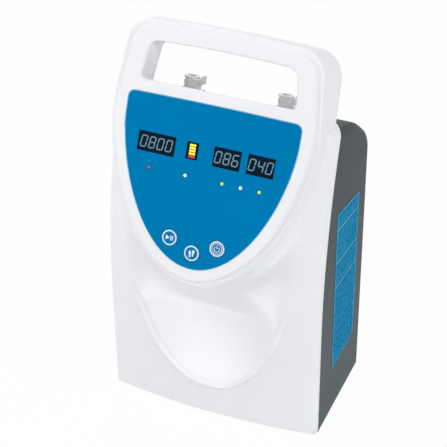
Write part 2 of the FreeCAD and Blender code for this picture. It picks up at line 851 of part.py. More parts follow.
def isolator_places():
    left, right = motor_x + 13, head_x + head_length - 12
    front, back = motor_axis_y - 12, motor_axis_y + 12
    return ((left, front), (left, back), (right, front), (right, back))


def isolators():
    pads = []
    for x, y in isolator_places():
        pad = rod(isolator_radius, (x, y, chassis_top), (x, y, chassis_top + isolator_height))
        neck = rod(1.9, (x, y, chassis_top - chassis_thick), (x, y, chassis_top))
        pads.append(pad.fuse(neck))
    return group(pads)


def pump_cradle():
    """folded plate that carries the motor and the pump head on the rubber isolators"""
    plate = rounded_block(motor_x + 2, head_x + head_length - 2, motor_axis_y - 19, motor_axis_y + 19,
                          cradle_low, cradle_low + 2, 3)
    y, z = motor_axis_y, motor_axis_z
    saddle = box(motor_x + 6, motor_x + 44, y - 12, y + 12, cradle_low + 2, z)
    saddle = saddle.cut(rod(motor_radius, (motor_x, y, z), (head_x, y, z)))
    block = box(head_x + 3, head_x + head_length - 3, y - 14, y + 14, cradle_low + 2, z - head_height / 2)
    return plate.fuse([saddle, block])


def pump_motor():
    axis = (motor_axis_y, motor_axis_z)
    can = rod(motor_radius, (motor_x, *axis), (head_x, *axis))
    cap = rod(7, (motor_x - 3, *axis), (motor_x, *axis))
    bore = rod(shaft_radius + 0.05, (motor_x - 1, *axis), (head_x + 1, *axis))
    return can.fuse(cap).cut(bore)


def pump_head():
    """crank case with two diaphragm chambers, one above and one below the shaft"""
    y, z = motor_axis_y, motor_axis_z
    case = box(head_x, head_x + head_length, y - head_width / 2, y + head_width / 2,
               z - head_height / 2, z + head_height / 2)
    room = rod(eccentric_radius + 5, (head_x + 6, y, z), (head_x + head_length - 6, y, z))
    bore = rod(shaft_radius + 0.05, (head_x - 1, y, z), (head_x + 7, y, z))
    top = z + head_height / 2
    lid = rod(15, (pump_tube_x, y, top), (pump_tube_x, y, top + 4))
    barb = rod(barb_radius, (pump_tube_x, y, top + 4), (pump_tube_x, y, top + 4 + barb_length))
    end = head_x + head_length
    end_bore = rod(shaft_radius + 0.05, (end - 7, y, z), (end - 0.8, y, z))
    return case.fuse([lid, barb]).cut([room, bore, end_bore])


def pump_rotor():
    """motor shaft with its eccentric and counterweight"""
    y, z = motor_axis_y, motor_axis_z
    shaft = rod(shaft_radius, (motor_x, y, z), (head_x + head_length - 1, y, z))
    eccentric = rod(eccentric_radius, (head_x + 14, y, z + 2.5), (head_x + 14 + eccentric_width, y, z + 2.5))
    weight = rod(eccentric_radius + 3, (head_x + 24, y, z), (head_x + 29, y, z))
    weight = weight.cut(box(head_x + 23, head_x + 30, y - 20, y + 20, z, z + 20))
    hub = rod(5, (head_x + 23, y, z), (head_x + 29, y, z))
    return shaft.fuse([eccentric, weight, hub])


def intake_filter():
    """foam cup on the front of the pump head"""
    x, z = head_x + head_length / 2, motor_axis_z
    y = motor_axis_y - head_width / 2
    return rod(8, (x, y, z), (x, y - 8, z)).fuse(rod(5, (x, y - 8, z), (x, y - 11, z)))


def battery_pack():
    w, d, h = battery_size
    z = chassis_top + 1.5
    return rounded_block(battery_x, battery_x + w, battery_y, battery_y + d, z, z + h, 3)


def battery_bracket():
    """open tray on the chassis with a strap over the pack"""
    w, d, h = battery_size
    x0, y0, z = battery_x, battery_y, chassis_top
    t = 1.5
    tray = box(x0 - t, x0 + w + t, y0 - t, y0 + d + t, z, z + 20)
    tray = tray.cut(box(x0 - 0.2, x0 + w + 0.2, y0 - 0.2, y0 + d + 0.2, z + t, z + 30))
    strap = box(x0 - t, x0 + w + t, y0 + 14, y0 + 28, z, z + h + 2 * t + 0.4)
    strap = strap.cut(box(x0 - 0.2, x0 + w + 0.2, y0, y0 + d, z + t, z + t + h + 0.2))
    return tray.fuse(strap)


def wall_board(x0, x1, z0, z1, places):
    y = inner_back - stand_off
    board = box(x0, x1, y - board_thick, y, z0, z1)
    return board.cut([rod(1.4, (x, y - 5, z), (x, y + 5, z)) for x, z in places])


def wall_screws(places):
    y = board_front
    screws = []
    for x, z in places:
        head = rod(2.6, (x, y - 1.8, z), (x, y, z))
        screws.append(head.fuse(rod(1.1, (x, y, z), (x, y + 8, z))))
    return group(screws)


def main_board():
    return wall_board(-main_board_half, main_board_half, main_board_z0, main_board_z1, main_board_places())


def main_board_parts():
    y = board_front
    z = main_board_z0
    parts = [box(-12, 12, y - 2, y, z + 46, z + 70), box(22, 38, y - 1.6, y, z + 52, z + 64),
             box(-46, -36, y - 9, y, z + 16, z + 40), box(30, 56, y - 11, y, z + 10, z + 20),
             box(-60, -40, y - 4, y, z + 66, z + 76),
             box(ribbon_x - 14, ribbon_x + 14, y - 6, y, ribbon_z - 4, ribbon_z + 4)]
    for x in (-26, -14, 0):
        parts.append(rod(5, (x, y - 14, z + 20), (x, y, z + 20)))
    parts.append(rod(6, (48, y - 8, z + 76), (48, y, z + 76)))
    return group(parts)


def pressure_sensor():
    y = board_front
    block = box(sensor_x - 6, sensor_x + 6, y - 6, y, sensor_z - 6, sensor_z + 6)
    barb = rod(barb_radius, (sensor_x, y - 6 - barb_length, sensor_z), (sensor_x, y - 6, sensor_z))
    return block.fuse(barb)


def supply_board():
    return wall_board(supply_board_x0, supply_board_x1, supply_board_z0, supply_board_z1, supply_places())


def supply_parts():
    y = board_front
    x, z = supply_board_x0, supply_board_z0
    parts = [box(x + 38, x + 64, y - 22, y, z + 8, z + 34), box(x + 6, x + 28, y - 3, y, z + 12, z + 42),
             box(x + 10, x + 12, y - 20, y - 3, z + 12, z + 42),
             box(x + 70, x + 80, y - 12, y, z + 6, z + 26)]
    for dx in (38, 50):
        parts.append(rod(6.5, (x + dx, y - 20, z + 44), (x + dx, y, z + 44)))
    return group(parts)


def valve_block():
    """aluminium manifold across the casing: supply barb below, two outlets above"""
    y0, z0 = manifold_y, manifold_z
    bar = box(-manifold_half, manifold_half, y0, y0 + manifold_depth, z0, z0 + manifold_height)
    mid = y0 + manifold_depth / 2
    top = z0 + manifold_height
    barbs = [rod(barb_radius, (x, mid, top), (x, mid, top + barb_length))
             for x in (port_offset - port_side, port_offset + port_side)]
    barbs.append(rod(barb_radius, (pump_tube_x, mid, z0 - barb_length), (pump_tube_x, mid, z0)))
    barbs.append(rod(barb_radius, (sensor_x, y0 + 14, z0 - barb_length), (sensor_x, y0 + 14, z0)))
    bar = bar.fuse(barbs)
    holes = [rod(1.7, (side * (manifold_half - 5), y0 - 1, z0 + 9),
                 (side * (manifold_half - 5), y0 + manifold_depth + 1, z0 + 9)) for side in (-1, 1)]
    for name, x in solenoids:
        holes.append(rod(plunger_radius + 0.3, (x, y0 - 1, z0 + 9), (x, y0 + 5, z0 + 9)))
    return bar.cut(holes)


def manifold_screws():
    screws = []
    for side in (-1, 1):
        x, z = side * (manifold_half - 5), manifold_z + 9
        head = rod(3, (x, manifold_y - 2, z), (x, manifold_y, z))
        screws.append(head.fuse(rod(1.4, (x, manifold_y, z), (x, manifold_y + manifold_depth + 8, z))))
    return group(screws)


def solenoid_valve(x):
    z = manifold_z + 9
    half = solenoid_size / 2
    y1 = manifold_y
    coil = box(x - half, x + half, y1 - solenoid_length, y1, z - half, z + half)
    room = rod(plunger_radius + 0.3, (x, y1 - solenoid_length + 4, z), (x, y1 + 1, z))
    return coil.cut(room)


def plunger(x):
    """steel plunger with its rubber tip on the seat; the coil pulls it back by its travel"""
    z = manifold_z + 9
    return rod(plunger_radius, (x, manifold_y - solenoid_length + 4 + plunger_travel + clear, z),
               (x, manifold_y + 5 - 0.1, z))


def tube(points, radii):
    """round tube along straight runs joined by tangent arcs"""
    corners = [(Vector(*p), r) for p, r in zip(points, radii)]
    spine = Part.Wire(path_edges(corners))
    start = corners[0][0]
    direction = (corners[1][0] - start)
    outer = Part.Wire(Part.makeCircle(tube_radius, start, direction))
    inner = Part.Wire(Part.makeCircle(tube_bore, start, direction))
    solid = spine.makePipeShell([outer], True, False)
    hollow = spine.makePipeShell([inner], True, False)
    return solid.cut(hollow)


def pump_tube():
    start_z = motor_axis_z + head_height / 2 + 4.3
    mid = manifold_y + manifold_depth / 2
    x = pump_tube_x
    return tube([(x, motor_axis_y, start_z), (x, motor_axis_y, manifold_z - 84), (x, mid, manifold_z - 44),
                 (x, mid, manifold_z - 0.3)], [0, 40, 40, 0])


def port_tail():
    """lower end of a coupling's barb, and the direction it points in"""
    slope = port_axis()
    z0 = port_origin_z() - 1.0
    direction = Vector(0, -math.sin(slope), -math.cos(slope))
    return Vector(0, port_y, z0) + direction * (port_tail_length + clear), direction


def outlet_tube(side):
    mid = manifold_y + manifold_depth / 2
    start, direction = port_tail()
    x = side * port_side + port_offset
    top = manifold_z + manifold_height
    end = Vector(x, mid, top + 0.3)
    first = Vector(x, start.y, start.z) + direction * outlet_lead
    last = Vector(x, mid, top + 11)
    points = [(x, start.y, start.z), tuple(first), tuple(last), tuple(end)]
    return tube(points, [0, tube_bend, tube_bend, 0])


def sensor_tube():
    y0 = board_front - 6.3
    y1 = manifold_y + 14
    return tube([(sensor_x, y0, sensor_z), (sensor_x, y1, sensor_z), (sensor_x, y1, manifold_z - 0.3)],
                [0, 10, 0])


def ribbon_cable():
    """flat cable from the display board's back to the main board"""
    rear = -display_board_depth - board_thick
    start = panel_point(ribbon_x, 60, rear - 0.3)
    away = panel_point(ribbon_x, 60, rear - 20)
    end_y = board_front - 6.3
    spine = Part.Wire(path_edges([(start, 0), (away, 14), (Vector(ribbon_x, end_y - 22, ribbon_z), 14),
                                  (Vector(ribbon_x, end_y, ribbon_z), 0)]))
    across = Vector(ribbon_half, 0, 0)
    up = (away - start).normalize().cross(Vector(1, 0, 0)) * (ribbon_thick / 2)
    corners = [start - across - up, start + across - up, start + across + up, start - across + up]
    return spine.makePipeShell([Part.makePolygon(corners + corners[:1])], True, False)


# ---- mains inlet ----
def mains_inlet():
    y = body_depth
    face = flat_side(inlet_x, inlet_z, 32, 38, y + 0.02, y + inlet_flange, 3)
    body = inlet_hole(0, y - inlet_deep, y + 0.02)
    socket = flat_side(inlet_x, inlet_z - 5, 24, 16.5, y - 16, y + 10, 3)
    drawer = flat_side(inlet_x, inlet_z + 10.5, 24 + 0.4, 8.4, y - 18, y + 10, 0.6)
    whole = face.fuse(body).cut([socket, drawer])
    back = y - inlet_deep
    tails = [box(x - 3, x + 3, back - 8, back, inlet_z - 5.5, inlet_z - 4.5)
             for x in (inlet_x - 8, inlet_x, inlet_x + 8)]
    return whole.fuse(tails)


def inlet_pins():
    y = body_depth
    pins = []
    for dx, dz in ((-7, -8), (0, -4), (7, -8)):
        x, z = inlet_x + dx, inlet_z + dz
        pins.append(box(x - 1, x + 1, y - 16, y - 2, z - 2, z + 2))
    return group(pins)


def fuse_drawer():
    y = body_depth
    z = inlet_z + 10.5
    drawer = flat_side(inlet_x, z, 24, 8, y - 17, y + inlet_flange + drawer_proud, 0.4)
    rooms = [rod(3.0, (inlet_x + dx, y - 18, z), (inlet_x + dx, y - 1, z)) for dx in (-6, 6)]
    grip = box(inlet_x - 4, inlet_x + 4, y + inlet_flange - 0.6, y + inlet_flange + 1, z - 4.2, z - 2.4)
    return drawer.cut(rooms + [grip])


def fuses():
    y = body_depth
    z = inlet_z + 10.5
    return group([rod(2.6, (inlet_x + dx, y - 16.5, z), (inlet_x + dx, y - 1.4, z)) for dx in (-6, 6)])


# ---- writing the pieces ----
def save(name, shape):
    placed = shape.copy()
    placed.translate(Vector(0, -centre_y, foot_height))
    placed.exportStep("parts/" + name + ".step")


def main():
    places = light_places()
    pieces = {
        "front_shell": front_shell(), "handle_back_cover": handle_back_cover(),
        "handle_screws": handle_screws(), "rear_casing": rear_casing(), "case_screws": case_screws(),
        "panel_overlay": panel_overlay(),
        "timer_window": window(*timer_window, window_low, window_high),
        "battery_window": window(*battery_window, battery_low, battery_high),
        "mode_window": window(*mode_window, window_low, window_high),
        "pressure_window": window(*pressure_window, window_low, window_high),
        "digit_modules": group([digit_module(*across, window_low, window_high)
                                for across in (timer_window, mode_window, pressure_window)]),
        "battery_bars": digit_module(*battery_window, battery_low, battery_high),
        "mains_light": lights(places[0:1]), "white_lights": lights((places[1], places[3])),
        "green_lights": lights((places[2], places[4])),
        "display_board": display_board(), "display_screws": display_screws(),
        "tact_switches": tact_switches(), "port_screws": port_screws(), "side_label": side_label(),
        "chassis_plate": chassis_plate(), "chassis_screws": chassis_screws(), "isolators": isolators(),
        "pump_cradle": pump_cradle(), "pump_motor": pump_motor(), "pump_head": pump_head(),
        "pump_rotor": pump_rotor(), "intake_filter": intake_filter(), "battery_pack": battery_pack(),
        "battery_bracket": battery_bracket(), "main_board": main_board(),
        "main_board_parts": main_board_parts(), "pressure_sensor": pressure_sensor(),
        "board_screws": wall_screws(main_board_places() + supply_places()),
        "supply_board": supply_board(), "supply_parts": supply_parts(), "valve_block": valve_block(),
        "solenoid_coils": group([solenoid_valve(x) for word, x in solenoids]),
        "manifold_screws": manifold_screws(), "pump_tube": pump_tube(), "sensor_tube": sensor_tube(),
        "ribbon_cable": ribbon_cable(), "mains_inlet": mains_inlet(), "inlet_pins": inlet_pins(),
        "fuse_drawer": fuse_drawer(), "fuses": fuses(),
    }
    for name, x, y in button_places():
        pieces[name] = push_button(x, y)
    for word, side in (("left", -1), ("right", 1)):
        pieces["coupling_" + word] = coupling(side)
        pieces["latch_" + word] = latch(side)
        pieces["outlet_tube_" + word] = outlet_tube(side)
    for word, x in solenoids:
        pieces["plunger_" + word] = plunger(x)
    pieces["feet"] = group([foot(x, y) for word, x, y in foot_places()])
    for name in sorted(pieces):
        shape = pieces[name]
        save(name, shape)
        facts = (name, len(shape.Solids), shape.Volume, shape.isValid())
        print("%-20s solids %2d volume %9.1f valid %s" % facts)


main()
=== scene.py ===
import math
import bpy
import bmesh
from mathutils import Matrix, Vector


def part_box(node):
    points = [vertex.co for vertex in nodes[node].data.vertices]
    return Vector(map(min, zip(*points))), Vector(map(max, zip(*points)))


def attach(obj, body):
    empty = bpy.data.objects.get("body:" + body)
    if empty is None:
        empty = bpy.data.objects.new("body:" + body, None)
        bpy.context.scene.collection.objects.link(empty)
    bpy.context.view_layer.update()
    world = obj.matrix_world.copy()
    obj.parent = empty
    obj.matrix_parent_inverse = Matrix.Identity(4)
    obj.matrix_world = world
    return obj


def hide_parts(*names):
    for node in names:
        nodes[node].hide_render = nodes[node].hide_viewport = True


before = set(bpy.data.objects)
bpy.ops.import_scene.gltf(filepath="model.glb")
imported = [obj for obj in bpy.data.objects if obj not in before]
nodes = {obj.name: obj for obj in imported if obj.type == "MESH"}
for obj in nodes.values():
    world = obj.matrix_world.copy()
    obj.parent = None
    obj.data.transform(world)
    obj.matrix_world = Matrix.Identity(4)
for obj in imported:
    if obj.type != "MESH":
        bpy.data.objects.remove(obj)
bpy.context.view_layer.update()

print("frame loaded", len(nodes), "pieces")

# everything below is written in millimetres in the body's own directions: X across, Y to the back, Z up
mm = 0.001
bodyDepth = 113.0
casingLow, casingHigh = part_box("rear_casing")
shiftY = casingHigh.y / mm - bodyDepth
footHeight = casingLow.z / mm

panel = {"lean": 24.5, "tipY": -47.2, "tipZ": 182.7}
lean = math.radians(panel["lean"])


def inRow(x, y, z):
    return Vector((x, y + shiftY, z + footHeight)) * mm


def onPanel(x, s, out):
    y = panel["tipY"] + s * math.sin(lean) - out * math.cos(lean)
    z = panel["tipZ"] + s * math.cos(lean) + out * math.sin(lean)
    return inRow(x, y, z)


def smoothStep(low, high, value):
    t = min(1.0, max(0.0, (value - low) / (high - low)))
    return t * t * (3 - 2 * t)


# the node group that all finishes share
def newGroup(name, inputs, outputs):
    group = bpy.data.node_groups.new(name, "ShaderNodeTree")
    for label, kind in inputs:
        group.interface.new_socket(name=label, in_out="INPUT", socket_type=kind)
    for label, kind in outputs:
        group.interface.new_socket(name=label, in_out="OUTPUT", socket_type=kind)
    start = group.nodes.new("NodeGroupInput")
    end = group.nodes.new("NodeGroupOutput")
    return group, start, end


def makeGrainGroup():
    # a fine bump, and a broad tone that sways a colour about its middle
    inputs = [("Scale", "NodeSocketFloat"), ("Height", "NodeSocketFloat"), ("Amount", "NodeSocketFloat")]
    outputs = [("Normal", "NodeSocketVector"), ("Tone", "NodeSocketFloat")]
    group, start, end = newGroup("mouldGrain", inputs, outputs)
    add = group.nodes.new
    link = group.links.new
    coords = add("ShaderNodeTexCoord")
    fine = add("ShaderNodeTexNoise")
    fine.inputs["Detail"].default_value = 3.0
    link(coords.outputs["Object"], fine.inputs["Vector"])
    link(start.outputs["Scale"], fine.inputs["Scale"])
    bump = add("ShaderNodeBump")
    bump.inputs["Distance"].default_value = 0.00012
    link(fine.outputs["Fac"], bump.inputs["Height"])
    link(start.outputs["Height"], bump.inputs["Strength"])
    broad = add("ShaderNodeTexNoise")
    broad.inputs["Scale"].default_value = 14.0
    broad.inputs["Detail"].default_value = 4.0
    link(coords.outputs["Object"], broad.inputs["Vector"])
    centred = add("ShaderNodeMath")
    centred.operation = "SUBTRACT"
    centred.inputs[1].default_value = 0.5
    link(broad.outputs["Fac"], centred.inputs[0])
    tone = add("ShaderNodeMath")
    tone.operation = "MULTIPLY_ADD"
    tone.inputs[2].default_value = 0.5
    link(centred.outputs[0], tone.inputs[0])
    link(start.outputs["Amount"], tone.inputs[1])
    link(bump.outputs["Normal"], end.inputs["Normal"])
    link(tone.outputs[0], end.inputs["Tone"])
    return group


grainGroup = makeGrainGroup()


def srgb(r, g, b):
    def one(v):
        v /= 255.0
        return v / 12.92 if v <= 0.04045 else ((v + 0.055) / 1.055) ** 2.4
    return (one(r), one(g), one(b), 1.0)


def finish(name, dark, light, roughness, metallic=0.0, grain=900.0, height=0.1, amount=1.0, spread=0.05,
           coat=0.0, emission=None, strength=0.0, specular=0.5):
    material = bpy.data.materials.new(name)
    material.use_nodes = True
    tree = material.node_tree
    shader = tree.nodes["Principled BSDF"]
    grainNode = tree.nodes.new("ShaderNodeGroup")
    grainNode.node_tree = grainGroup
    grainNode.inputs["Scale"].default_value = grain
    grainNode.inputs["Height"].default_value = height
    grainNode.inputs["Amount"].default_value = amount
    colours = tree.nodes.new("ShaderNodeMix")
    colours.data_type = "RGBA"
    colours.inputs["A"].default_value = dark
    colours.inputs["B"].default_value = light
    tree.links.new(grainNode.outputs["Tone"], colours.inputs["Factor"])
    tree.links.new(colours.outputs["Result"], shader.inputs["Base Color"])
    rough = tree.nodes.new("ShaderNodeMapRange")
    rough.inputs["To Min"].default_value = max(0.02, roughness - spread)
    rough.inputs["To Max"].default_value = min(1.0, roughness + spread)
    tree.links.new(grainNode.outputs["Tone"], rough.inputs["Value"])
    tree.links.new(rough.outputs["Result"], shader.inputs["Roughness"])
    tree.links.new(grainNode.outputs["Normal"], shader.inputs["Normal"])
    shader.inputs["Metallic"].default_value = metallic
    shader.inputs["Specular IOR Level"].default_value = specular
    if coat:
        shader.inputs["Coat Weight"].default_value = coat
        shader.inputs["Coat Roughness"].default_value = 0.12
    if emission:
        shader.inputs["Emission Color"].default_value = emission
        shader.inputs["Emission Strength"].default_value = strength
    return material


shellWhite = finish("shellWhite", srgb(233, 234, 237), srgb(242, 243, 246), 0.3,
                    grain=2600, height=0.05, spread=0.02)


# painted shade on the casing: the heights where it begins and where it is full, and the colour it
# multiplies by at the top
casingPaintedShade = {"low": 0.09, "high": 0.27, "topShadeColour": (0.53, 0.52, 0.51, 1.0)}


def makeCasingGrey():
    # painted shade: the grey is multiplied darker toward the top
    material = finish("casingGrey", srgb(62, 74, 78), srgb(70, 82, 86), 0.5,
                      grain=2200, height=0.25, specular=0.14)
    tree = material.node_tree
    coords = tree.nodes.new("ShaderNodeTexCoord")
    parts = tree.nodes.new("ShaderNodeSeparateXYZ")
    share = tree.nodes.new("ShaderNodeMapRange")
    share.inputs["From Min"].default_value = casingPaintedShade["low"]
    share.inputs["From Max"].default_value = casingPaintedShade["high"]
    topShadeMix = tree.nodes.new("ShaderNodeMix")
    topShadeMix.data_type = "RGBA"
    topShadeMix.blend_type = "MULTIPLY"
    topShadeMix.inputs["B"].default_value = casingPaintedShade["topShadeColour"]
    shader = tree.nodes["Principled BSDF"]
    tree.links.new(coords.outputs["Object"], parts.inputs[0])
    tree.links.new(parts.outputs["Z"], share.inputs["Value"])
    tree.links.new(share.outputs["Result"], topShadeMix.inputs["Factor"])
    tree.links.new(shader.inputs["Base Color"].links[0].from_socket, topShadeMix.inputs["A"])
    tree.links.new(topShadeMix.outputs["Result"], shader.inputs["Base Color"])
    return material


casingGrey = makeCasingGrey()
overlayBlue = finish("overlayBlue", srgb(0, 117, 174), srgb(0, 125, 182), 0.5,
                     grain=3000, height=0.05, specular=0.0)
edgeBlue = finish("edgeBlue", srgb(120, 190, 222), srgb(150, 206, 232), 0.4)
keyBlue = finish("keyBlue", srgb(0, 115, 173), srgb(0, 122, 180), 0.5,
                 grain=3000, height=0.06, specular=0.06)
printWhite = finish("printWhite", srgb(225, 236, 242), srgb(240, 246, 250), 0.45)
windowBlack = finish("windowBlack", srgb(0, 18, 30), srgb(6, 26, 40), 0.25, specular=0.07)
segmentLine = finish("segmentLine", srgb(88, 132, 154), srgb(110, 152, 172), 0.4,
                     emission=srgb(110, 150, 170), strength=0.15, specular=0.1)
barYellow = finish("barYellow", srgb(236, 214, 50), srgb(250, 232, 90), 0.4,
                   emission=srgb(245, 225, 70), strength=0.35)
barRed = finish("barRed", srgb(196, 44, 30), srgb(222, 62, 40), 0.4,
                emission=srgb(220, 50, 30), strength=0.3)
lampRed = finish("lampRed", srgb(158, 46, 86), srgb(188, 70, 108), 0.2, coat=0.5,
                 emission=srgb(210, 50, 90), strength=0.15)
lampWhite = finish("lampWhite", srgb(238, 246, 248), srgb(252, 255, 255), 0.2, coat=0.5,
                   emission=srgb(255, 255, 255), strength=0.25)
lampGreen = finish("lampGreen", srgb(176, 208, 80), srgb(200, 226, 110), 0.2, coat=0.5,
                   emission=srgb(215, 230, 80), strength=0.25)
chrome = finish("chrome", srgb(240, 241, 243), srgb(249, 250, 251), 0.3, metallic=0.1,
                grain=1800, height=0.06)
latchSteel = finish("latchSteel", srgb(236, 237, 239), srgb(246, 247, 249), 0.32, metallic=0.12,
                    grain=1500, height=0.1)
screwBlack = finish("screwBlack", srgb(30, 30, 32), srgb(52, 52, 54), 0.4, metallic=0.6)
screwSteel = finish("screwSteel", srgb(128, 129, 131), srgb(160, 161, 163), 0.32, metallic=1.0)
footRubber = finish("footRubber", srgb(34, 34, 35), srgb(48, 48, 49), 0.8, grain=1600, height=0.4)
filterFoam = finish("filterFoam", srgb(30, 31, 32), srgb(58, 59, 60), 0.95, grain=700, height=0.9)
sheetSteel = finish("sheetSteel", srgb(150, 153, 156), srgb(186, 189, 192), 0.38, metallic=1.0,
                    grain=120, height=0.05)
motorSteel = finish("motorSteel", srgb(134, 136, 139), srgb(170, 172, 175), 0.34, metallic=1.0,
                    grain=400, height=0.08)
castAluminium = finish("castAluminium", srgb(158, 160, 163), srgb(192, 194, 197), 0.5, metallic=1.0,
                       height=0.3)
shaftSteel = finish("shaftSteel", srgb(176, 178, 181), srgb(206, 208, 210), 0.2, metallic=1.0)
batteryWrap = finish("batteryWrap", srgb(34, 66, 128), srgb(48, 84, 150), 0.4, grain=300, height=0.1)
coilPlastic = finish("coilPlastic", srgb(30, 31, 34), srgb(50, 51, 54), 0.5)
boardGreen = finish("boardGreen", srgb(18, 84, 48), srgb(30, 108, 62), 0.42, grain=500, height=0.15)
partBlack = finish("partBlack", srgb(28, 28, 30), srgb(46, 46, 48), 0.48)
tubeClear = finish("tubeClear", srgb(196, 202, 204), srgb(220, 225, 226), 0.34)
ribbonGrey = finish("ribbonGrey", srgb(150, 152, 155), srgb(178, 180, 182), 0.5, grain=250, height=0.2)
inletBlack = finish("inletBlack", srgb(22, 22, 24), srgb(36, 36, 38), 0.42)
pinBrass = finish("pinBrass", srgb(190, 168, 108), srgb(214, 192, 130), 0.28, metallic=1.0)
fuseGlass = finish("fuseGlass", srgb(202, 212, 212), srgb(224, 232, 232), 0.1, coat=0.5)
labelBlue = finish("labelBlue", srgb(14, 120, 164), srgb(32, 134, 180), 0.5,
                   grain=2600, height=0.05, specular=0.0)
labelMark = finish("labelMark", srgb(56, 150, 194), srgb(72, 164, 206), 0.5, specular=0.0)
labelPale = finish("labelPale", srgb(104, 178, 216), srgb(134, 198, 228), 0.45)

nodeFinish = {
    "shellWhite": ["handle_back_cover"], "casingGrey": ["rear_casing"], "overlayBlue": ["panel_overlay"],
    "windowBlack": ["timer_window", "mode_window", "pressure_window", "battery_window"],
    "lampRed": ["mains_light"], "lampWhite": ["white_lights"], "lampGreen": ["green_lights"],
    "keyBlue": ["start_button", "foot_button", "power_button"],
    "chrome": ["coupling_left", "coupling_right"], "latchSteel": ["latch_left", "latch_right"],
    "screwBlack": ["port_screws"],
    "screwSteel": ["case_screws", "board_screws", "display_screws", "handle_screws", "chassis_screws",
                   "manifold_screws"],
    "footRubber": ["feet", "isolators"], "filterFoam": ["intake_filter"],
    "sheetSteel": ["chassis_plate", "battery_bracket", "pump_cradle"], "batteryWrap": ["battery_pack"],
    "motorSteel": ["pump_motor"], "castAluminium": ["pump_head", "valve_block"],
    "shaftSteel": ["pump_rotor", "plunger_left", "plunger_vent", "plunger_right"],
    "coilPlastic": ["solenoid_coils"],
    "boardGreen": ["main_board", "display_board", "supply_board"],
    "partBlack": ["main_board_parts", "supply_parts", "digit_modules", "battery_bars", "tact_switches",
                  "pressure_sensor"],
    "tubeClear": ["pump_tube", "sensor_tube", "outlet_tube_left", "outlet_tube_right"],
    "ribbonGrey": ["ribbon_cable"], "inletBlack": ["mains_inlet", "fuse_drawer"],
    "pinBrass": ["inlet_pins"], "fuseGlass": ["fuses"], "labelBlue": ["side_label"],
}
for finishName, members in nodeFinish.items():
    for member in members:
        nodes[member].data.materials.clear()
        nodes[member].data.materials.append(bpy.data.materials[finishName])
print("finishes set")


# meshes

def pieceFrom(name, build, body, materials):
    mesh = bpy.data.meshes.new(name)
    build.normal_update()
    build.to_mesh(mesh)
    build.free()
    obj = bpy.data.objects.new(name, mesh)
    bpy.context.scene.collection.objects.link(obj)
    for material in materials:
        mesh.materials.append(material)
    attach(obj, body)
    return obj


def cornerArc(before, here, after, radius, count):
    u = (before - here).normalized()
    v = (after - here).normalized()
    half = u.angle(v) / 2
    run = radius / math.tan(half)
    centre = here + (u + v).normalized() * (radius / math.sin(half))
    a = here + u * run - centre
    b = here + v * run - centre
    turn = a.angle(b)
    points = []
    for i in range(count + 1):
        t = i / count
        points.append(centre + (a * math.sin((1 - t) * turn) + b * math.sin(t * turn)) / math.sin(turn))
    return points


shield = {"half": 73.5, "tip": 2.8, "top": 135.6, "shoulder": 118.0, "power": 1.65,
          "bend": 12.0, "bendRadius": 60.0,
          "lowerSteps": 120, "bendSteps": 6, "cornerSteps": 14, "crownSteps": 16}


def shieldRing(half, tip, topHalf, cornerY, top, cornerRadius):
    shoulder = shield["shoulder"]
    ring = []
    for i in range(shield["lowerSteps"] + 1):
        angle = math.pi * (0.5 - i / shield["lowerSteps"])
        rise = max(0.0, math.cos(angle)) ** (2 / shield["power"])
        ring.append(Vector((half * math.sin(angle), shoulder - (shoulder - tip) * rise)))
    left = [Vector((-half, shoulder)), Vector((-half, shoulder + shield["bend"])),
            Vector((-topHalf, cornerY)), Vector((0, top))]
    crown = 0.5 * topHalf ** 2 / (top - cornerY)
    if topHalf < half:
        upper = cornerArc(left[0], left[1], left[2], shield["bendRadius"], shield["bendSteps"])
    else:
        upper = [left[0].lerp(left[2], 0.1 + 0.05 * i) for i in range(shield["bendSteps"] + 1)]
    upper += cornerArc(left[1], left[2], left[3], cornerRadius, shield["cornerSteps"])
    arc = cornerArc(left[2], left[3], Vector((topHalf, cornerY)), crown, shield["crownSteps"])
    right = [Vector((-p.x, p.y)) for p in reversed(upper)]
    return ring + upper + arc + right


rim = {"face": 9.5, "step": 4.0, "flare": 4.0, "handleTop": 192.2, "stepDepth": 3.5, "depth": 29.0,
       "edge": 1.7, "soft": 1.4, "fillet": 0.9, "round": 1.5, "lip": 2.8, "hem": 2.9, "hemHeight": 6.0}
pocket = {"clear": 0.15, "depth": 0.6, "bevelDepth": 0.12, "bevel": 0.32}


# each ring round the plateau: how far out it lies, and where its upper corners and crown are
faceTop = {"grow": rim["face"], "narrow": 8.5, "corner": -3.7, "crown": 0.0, "radius": 20.0}
stepTop = {"grow": rim["face"] + rim["step"], "narrow": 6.5, "corner": -1.0, "crown": 3.3, "radius": 22.0}
backTop = {"grow": stepTop["grow"] + rim["flare"], "narrow": 2.5, "corner": -1.2, "crown": 1.8,
           "radius": 22.0}


def rimRing(ring, inset):
    half = shield["half"] + ring["grow"] - inset
    top = rim["handleTop"] - inset
    return shieldRing(half, shield["tip"] - ring["grow"] + inset, half - ring["narrow"],
                      top + ring["corner"], top + ring["crown"], ring["radius"] - inset)


def overlayRing(grow):
    half = shield["half"] + grow
    return shieldRing(half, shield["tip"] - grow, half, shield["top"] - 1 + grow, shield["top"] + grow,
                      6 + grow)


grip = {"low": 145.0, "high": 177.5, "halfLow": 65.3, "halfHigh": 61.2,
        "wall": 2.4, "edge": 2.2, "round": 1.2, "draft": 0.22, "drop": 2.0,
        "lowCorner": 3.0, "highCorner": 9.0, "cornerSteps": 14}


